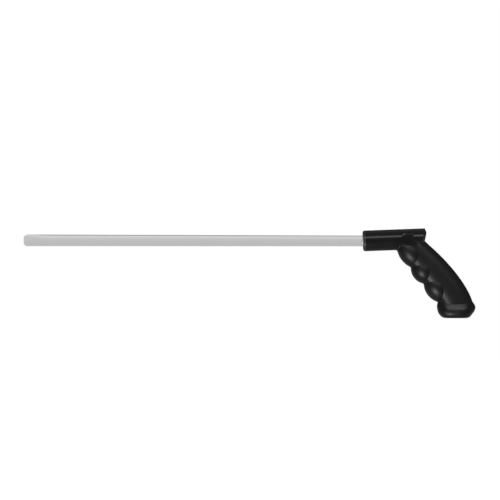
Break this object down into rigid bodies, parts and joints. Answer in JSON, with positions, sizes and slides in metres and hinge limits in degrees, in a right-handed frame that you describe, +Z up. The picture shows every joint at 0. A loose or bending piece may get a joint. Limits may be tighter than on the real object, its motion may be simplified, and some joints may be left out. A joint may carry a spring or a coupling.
{
  "type": "golf grip removal tool",
  "caption": "Hand tool with a long narrow half-round steel blade in a black pistol-grip handle, slid between a golf club's shaft and grip to free the grip.",
  "frame": {"origin": "centre of the barrel's mouth face, where the blade comes out of the handle", "axes": "+X runs back along the blade, from its tip towards the handle; +Z is up, with the grip hanging down; -Y is the tool's left side, which the blade's rounded back faces"},
  "size_m": [0.2498, 0.0164, 0.0496],
  "materials": {
    "blade_steel": "satin stainless, fine lines along the blade",
    "core_steel": "as drawn",
    "pin_steel": "ground",
    "screw_steel": "zinc plated",
    "handle_plastic": "black moulding, semi-gloss barrel and satin grip",
    "collar_plastic": "black, semi-gloss"
  },
  "bodies": {
    "root": {"blade": "blade_steel", "tang_core": "core_steel", "tang_pin_front": "pin_steel", "tang_pin_rear": "pin_steel", "mouth_collar": "collar_plastic", "left_shell": "handle_plastic", "right_shell": "handle_plastic", "screw_neck": "screw_steel", "screw_waist": "screw_steel", "screw_butt": "screw_steel"}
  },
  "joints": []
}
